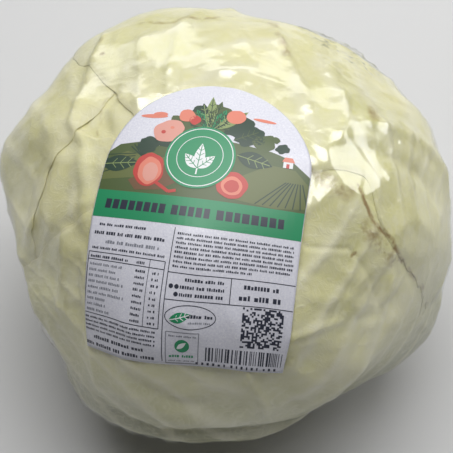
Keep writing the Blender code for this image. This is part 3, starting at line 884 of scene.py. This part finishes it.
def drawPanels():
    putBox("green", 2, -43, 51, 43, 62)
    x = -36.5
    for count in (8, 5, 8):
        for _ in range(count):
            wide = printLuck.uniform(2.1, 2.8)
            putBox("dark", 3, x, 54.6, x + wide, 58.4)
            x += wide + 0.75
        x += 1.8
    for ink, left, right, low, high, width in (
        ("dark", -37, -17, 47.6, 1.1, 0.7), ("dark", -38.5, -9, 44.2, 1.4, 0.85),
        ("grey", -33, -10, 41.0, 1.4, 0.85), ("dark", -38.5, -8, 38.6, 1.0, 0.6),
    ):
        putMarks(ink, 1, left, right, low, high, width)
    for y in (14.2, 34.6, 37.4):
        putLine("dark", 1, [(-39.6, y), (-7.4, y)], 0.3)
    for x, width in ((-39.6, 0.3), (-7.4, 0.3), (-13.2, 0.22)):
        putLine("dark", 1, [(x, 14.2), (x, 37.4)], width)
    putMarks("dark", 1, -38.6, -22, 35.3, 1.1, 0.7)
    putMarks("dark", 1, -18.5, -14.4, 35.3, 1.1, 0.7)
    for row in range(9):
        y = 32.4 - row * 2.15
        putMarks("grey", 1, -38.6, -38.6 + printLuck.uniform(7, 17), y, 1.1, 0.6)
        putMarks("dark", 1, -18.4, -14.2, y, 1.0, 0.6)
        putMarks("dark", 1, -11.6, -8.6, y, 1.0, 0.6, word=(1, 2))
    for y in (12.3, 10.7, 9.1, 7.5):
        putMarks("dark", 1, -39.2, -8.2, y, 0.85, 0.5, 0.18)
    putMarks("dark", 1, -35, -12, 4.6, 1.5, 0.95, 0.3)
    putMarks("dark", 1, -38.8, -8.8, 1.6, 1.5, 0.9, 0.3)
    putLine("dark", 1, [(-5.9, 1.5), (-5.9, 50.0)], 0.3)
    for row in range(8):
        putMarks("dark", 1, -4.6, 39.0 if row < 7 else 24.0, 47.6 - row * 1.65, 0.95, 0.55, 0.2)
    for y in (34.2, 25.0):
        putLine("dark", 1, [(-5.9, y), (40.4, y)], 0.3)
    putLine("dark", 1, [(16.8, 25.0), (16.8, 34.2)], 0.3)
    for y in (31.6, 29.0, 26.4):
        putMarks("dark", 1, -1.0 if y < 31 else 0.5, 15.0, y, 1.3, 0.75, 0.25)
    for x, y in ((-4.2, 29.6), (-2.2, 29.6), (-2.2, 27.0)):
        putDisc("dark", 1, x, y, 0.8)
    putMarks("dark", 1, 21.5, 35.0, 30.8, 1.7, 1.0, 0.35, (8, 8))
    putMarks("dark", 1, 20.0, 37.0, 26.8, 2.1, 1.25, 0.4, (2, 4))
    putRing("dark", 1, 3.6, 19.4, 9.0, 4.3, 0.3)
    putLeaf("green", 1, -3.8, 18.0, 8.0, 3.6, 18, "white")
    putMarks("dark", 1, 1.6, 11.4, 19.2, 1.4, 0.9, 0.25)
    putMarks("grey", 1, 3.0, 11.0, 17.2, 0.8, 0.5)
    for y in (0.9, 13.8):
        putLine("grey", 1, [(-4.6, y), (7.0, y)], 0.3)
    for x in (-4.6, 7.0):
        putLine("grey", 1, [(x, 0.9), (x, 13.8)], 0.3)
    putDisc("green", 1, 1.2, 8.4, 2.6, 2.6)
    putLeaf("white", 2, -0.6, 7.2, 4.2, 1.8, 40, None)
    putMarks("green", 1, -3.4, 6.0, 3.6, 1.2, 0.8, 0.25)
    for low, high, width in ((1.8, 0.6, 0.4), (12.0, 0.8, 0.45)):
        putMarks("grey", 1, -3.6, 6.2, low, high, width, 0.15)
    cell = 0.68
    for row in range(22):
        for column in range(22):
            if printLuck.random() < 0.5:
                left, low = 21.8 + column * cell, 9.6 + row * cell
                putBox("dark", 1, left, low, left + cell, low + cell)
    x = 9.6
    while x < 37.5:
        wide = printLuck.choice((0.28, 0.28, 0.5, 0.75))
        putBox("dark", 1, x, 2.6, x + wide, 8.4)
        x += wide + printLuck.choice((0.3, 0.3, 0.55, 0.8))
    putMarks("dark", 1, 6.2, 38.0, 0.7, 1.35, 0.85, 1.2, (6, 6))


def makePrint():
    drawPicture()
    drawPanels()
    deselectAll()
    bpy.ops.mesh.primitive_plane_add(size=0.001, location=(0, 0, 0))
    sheet = bpy.context.object
    sheet.name = printSettings["name"]
    mesh = bmesh.new()
    layerOf = mesh.verts.layers.float.new("layer")
    names = list(inks)
    for ink, layer, points in shapes:
        made = []
        for x, y in points:
            corner = mesh.verts.new((x, y, 0))
            corner[layerOf] = layer
            made.append(corner)
        face = mesh.faces.new(made)
        face.normal_update()
        if face.normal.z < 0:
            face.normal_flip()
        face.material_index = names.index(ink)
    bmesh.ops.triangulate(mesh, faces=mesh.faces)
    for _ in range(5):
        longEdges = [edge for edge in mesh.edges if edge.calc_length() > printSettings["longest"]]
        if longEdges:
            bmesh.ops.subdivide_edges(mesh, edges=longEdges, cuts=1)
            bmesh.ops.triangulate(mesh, faces=mesh.faces)
    inkOf = [face.material_index for face in mesh.faces]
    layers = np.array([corner[layerOf] for corner in mesh.verts])
    mesh.to_mesh(sheet.data)
    mesh.free()
    flat = corners(sheet)
    width, height = printSettings["sheet"]
    share = np.clip(flat[:, 1] / height, 0.004, 0.993)
    half = labelHalfWidth(share) - 0.0003
    x = np.clip(flat[:, 0] * labelSettings["width"] / width, -half, half)
    ways = labelWays(x, (share - 0.5) * labelSettings["height"])
    reach = reachesOn(labelTree, ways) + printSettings["lift"] + layers * printSettings["layer"]
    setCorners(sheet, np.array(headCentre) + ways * reach[:, None])
    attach(sheet, "root")
    return sheet, inkOf


labelPrint, inkOf = makePrint()
print("label printed", len(labelPrint.data.polygons))


class Finish:
    # a material and short ways to add and join its nodes
    def __init__(self, name):
        self.material = bpy.data.materials.new(name)
        self.material.use_nodes = True
        self.tree = self.material.node_tree
        self.shader = self.tree.nodes["Principled BSDF"]

    def node(self, kind, inputs=None, **settings):
        made = self.tree.nodes.new(kind)
        for key, value in settings.items():
            setattr(made, key, value)
        for key, value in (inputs or {}).items():
            self.feed(made.inputs[key], value)
        return made

    def feed(self, socket, value):
        if isinstance(value, bpy.types.NodeSocket):
            self.tree.links.new(value, socket)
        else:
            socket.default_value = value

    def set(self, **inputs):
        for key, value in inputs.items():
            self.feed(self.shader.inputs[key.replace("_", " ")], value)

    def spot(self, scale=(1, 1, 1)):
        place = self.node("ShaderNodeTexCoord").outputs["Object"]
        return self.node("ShaderNodeMapping", {0: place, "Scale": scale}).outputs[0]

    def noise(self, scale, detail=4.0, place=None, roughness=0.5):
        made = self.node("ShaderNodeTexNoise", {
            "Vector": place or self.spot(), "Scale": scale, "Detail": detail, "Roughness": roughness,
        })
        return made.outputs["Fac"]

    def scatter(self, scale):
        made = self.node("ShaderNodeTexNoise", {"Vector": self.spot(), "Scale": scale})
        return made.outputs["Color"]

    def cells(self, scale, place=None, feature="DISTANCE_TO_EDGE"):
        inputs = {"Vector": place or self.spot(), "Scale": scale}
        return self.node("ShaderNodeTexVoronoi", inputs, feature=feature).outputs["Distance"]

    def vector(self, kind, inputs):
        return self.node("ShaderNodeVectorMath", inputs, operation=kind).outputs[0]

    def range(self, value, low, high, outLow=0.0, outHigh=1.0):
        return self.node("ShaderNodeMapRange", {
            "Value": value, "From Min": low, "From Max": high, "To Min": outLow, "To Max": outHigh,
        }).outputs[0]

    def number(self, name):
        return self.node("ShaderNodeAttribute", attribute_name=name).outputs["Fac"]

    def combine(self, kind, first, second):
        return self.node("ShaderNodeMath", {0: first, 1: second}, operation=kind).outputs[0]

    def mix(self, share, first, second):
        made = self.node("ShaderNodeMix", {0: share}, data_type="RGBA")
        self.feed(made.inputs[6], first)
        self.feed(made.inputs[7], second)
        return made.outputs[2]

    def tint(self, colour, other, amount, strength):
        return self.mix(self.combine("MULTIPLY", amount, strength), colour, other)

    def bump(self, height, strength, distance, under=None):
        made = self.node("ShaderNodeBump", {"Height": height, "Strength": strength, "Distance": distance})
        if under:
            self.feed(made.inputs["Normal"], under)
        return made.outputs[0]


def leafFinish(name, base, deep, pale):
    finish = Finish(name)
    patchy = finish.range(finish.noise(16, 3.0), 0.35, 0.68)
    colour = finish.mix(patchy, base, deep)
    mottle = finish.range(finish.noise(70, 5.0, roughness=0.6), 0.42, 0.66, 0.0, 0.45)
    colour = finish.mix(mottle, colour, pale)
    # painted shade: below 112 mm above the floor the leaf colour goes toward a dark olive, up to 80 percent
    # by 62 mm, standing for the shade on the lower part of the head
    low = finish.node("ShaderNodeSeparateXYZ", {0: finish.spot()}).outputs["Z"]
    colour = finish.mix(finish.range(low, 0.112, 0.062, 0.0, 0.80), colour, (0.27, 0.28, 0.13, 1))
    drift = finish.vector("SCALE", {0: finish.scatter(60.0), "Scale": 0.005})
    warped = finish.vector("MULTIPLY_ADD", {0: finish.spot(), 1: finish.scatter(55.0), 2: drift})
    net = finish.range(finish.cells(95, warped), 0.0, 0.075, 1.0, 0.0)
    fineNet = finish.range(finish.cells(230, warped), 0.0, 0.10, 1.0, 0.0)
    veins = finish.combine("MAXIMUM", finish.number("vein"), finish.number("rib"))
    for lines, strength in ((net, 0.34), (fineNet, 0.14), (veins, 0.75)):
        colour = finish.tint(colour, pale, lines, strength)
    frayed = finish.range(finish.noise(40, 3.0), 0.4, 0.62)
    margin = finish.combine("MULTIPLY", finish.number("edge"), frayed)
    colour = finish.tint(colour, (0.66, 0.57, 0.30, 1), margin, 0.22)
    broken = finish.range(finish.noise(120, 5.0, roughness=0.7), 0.34, 0.60)
    stain = finish.combine("MULTIPLY", finish.number("stain"), broken)
    colour = finish.mix(finish.range(stain, 0.12, 0.62), colour, (0.36, 0.25, 0.10, 1))
    specks = finish.range(finish.noise(420, 2.0), 0.735, 0.76)
    sparse = finish.range(finish.noise(28, 2.0), 0.50, 0.60)
    colour = finish.tint(colour, (0.30, 0.22, 0.10, 1), finish.combine("MULTIPLY", specks, sparse), 0.7)
    fineHeight = finish.combine("MULTIPLY", fineNet, 0.22)
    height = finish.combine("ADD", finish.combine("MULTIPLY", net, 0.5), fineHeight)
    relief = finish.bump(height, 0.22, 0.0006)
    relief = finish.bump(finish.noise(130, 5.0, roughness=0.6), 0.5, 0.0008, relief)
    relief = finish.bump(finish.noise(45, 3.0), 0.5, 0.0016, relief)
    finish.set(
        Base_Color=colour, Normal=relief, Roughness=0.46, Specular_IOR_Level=0.42,
        Subsurface_Weight=0.22, Subsurface_Radius=(0.9, 0.8, 0.35), Subsurface_Scale=0.004,
    )
    return finish.material


def filmFinish():
    finish = Finish("clearFilm")
    facing = finish.node("ShaderNodeLayerWeight", {"Blend": 0.5}).outputs["Facing"]
    sheen = finish.combine("POWER", facing, 4.5)
    cloudy = finish.range(finish.noise(18, 3.0), 0.42, 0.72, 0.0, 0.05)
    clear = finish.combine("ADD", finish.combine("MULTIPLY", sheen, 0.22), 0.070)
    alpha = finish.combine("ADD", clear, cloudy)
    drift = finish.vector("SCALE", {0: finish.scatter(30.0), "Scale": 0.02})
    shifted = finish.vector("ADD", {0: finish.spot(), 1: drift})
    crumple = finish.cells(62, shifted, "F1")
    fineCrumple = finish.cells(210, shifted, "F1")
    relief = finish.bump(crumple, 0.05, 0.004)
    relief = finish.bump(fineCrumple, 0.06, 0.0016, relief)
    relief = finish.bump(finish.noise(24, 3.0), 0.06, 0.004, relief)
    finish.set(Base_Color=(0.93, 0.94, 0.95, 1), Metallic=0.92, Roughness=0.15)
    finish.set(Alpha=alpha, Normal=relief)
    return finish.material


def paperFinish():
    finish = Finish("labelPaper")
    sheet = finish.node("ShaderNodeUVMap", uv_map="UVMap").outputs[0]
    grain = finish.range(finish.noise(110, 3.0, sheet, roughness=0.7), 0.44, 0.60)
    colour = finish.mix(grain, (0.66, 0.66, 0.74, 1), (0.74, 0.74, 0.80, 1))
    flecks = finish.range(finish.noise(95, 2.0, sheet), 0.66, 0.70)
    colour = finish.tint(colour, (0.42, 0.42, 0.52, 1), flecks, 0.5)
    light = finish.range(finish.noise(64, 2.0, sheet), 0.64, 0.69)
    colour = finish.tint(colour, (0.86, 0.86, 0.89, 1), light, 0.55)
    relief = finish.bump(finish.noise(9, 3.0, sheet), 0.25, 0.0006)
    finish.set(Base_Color=colour, Roughness=0.34, Normal=relief, Coat_Weight=0.15, Coat_Roughness=0.2)
    return finish.material


def dress(piece, material):
    piece.data.materials.clear()
    piece.data.materials.append(material)


leafColours = {"base": (0.85, 0.80, 0.43, 1), "deep": (0.76, 0.73, 0.34, 1), "pale": (0.92, 0.88, 0.62, 1)}
outerGreen = leafFinish("outerLeaf", **leafColours)
for leafPiece in leafPieces.values():
    dress(leafPiece, outerGreen)
dress(filmPiece, filmFinish())
dress(labelPaper, paperFinish())
labelPrint.data.materials.clear()
for ink, colour in inks.items():
    finish = Finish(f"{ink}Ink")
    finish.set(Base_Color=(*colour, 1), Roughness=0.38, Coat_Weight=0.15, Coat_Roughness=0.2)
    labelPrint.data.materials.append(finish.material)
labelPrint.data.polygons.foreach_set("material_index", inkOf)


def stemFinish():
    finish = Finish("cutStem")
    rings = finish.noise(1.0, 4.0, finish.spot((260, 260, 30)))
    colour = finish.mix(finish.range(rings, 0.35, 0.65), (0.66, 0.58, 0.34, 1), (0.44, 0.33, 0.16, 1))
    finish.set(Base_Color=colour, Roughness=0.7, Normal=finish.bump(rings, 0.5, 0.0008))
    return finish.material


def heartFinish():
    finish = Finish("heartLeaf")
    patchy = finish.noise(26, 5.0)
    colour = finish.mix(finish.range(patchy, 0.35, 0.65), (0.76, 0.75, 0.46, 1), (0.66, 0.66, 0.33, 1))
    veins = finish.range(finish.cells(60), 0.0, 0.08, 1.0, 0.0)
    colour = finish.tint(colour, (0.86, 0.84, 0.62, 1), veins, 0.4)
    finish.set(Base_Color=colour, Roughness=0.5, Normal=finish.bump(veins, 0.4, 0.0008))
    return finish.material


for nodeName, material in (("stem", stemFinish()), ("heart", heartFinish())):
    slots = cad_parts[nodeName].data.materials
    if not slots:
        slots.append(material)
    for slotIndex in range(len(slots)):
        slots[slotIndex] = material
print("materials made")


def makeFloor():
    deselectAll()
    bpy.ops.mesh.primitive_plane_add(size=6.0, location=(0, 0, 0))
    floor = bpy.context.object
    floor.name = "floor"
    finish = Finish("paleFloor")
    finish.set(Base_Color=(0.64, 0.64, 0.64, 1), Roughness=0.9)
    dress(floor, finish.material)


makeFloor()
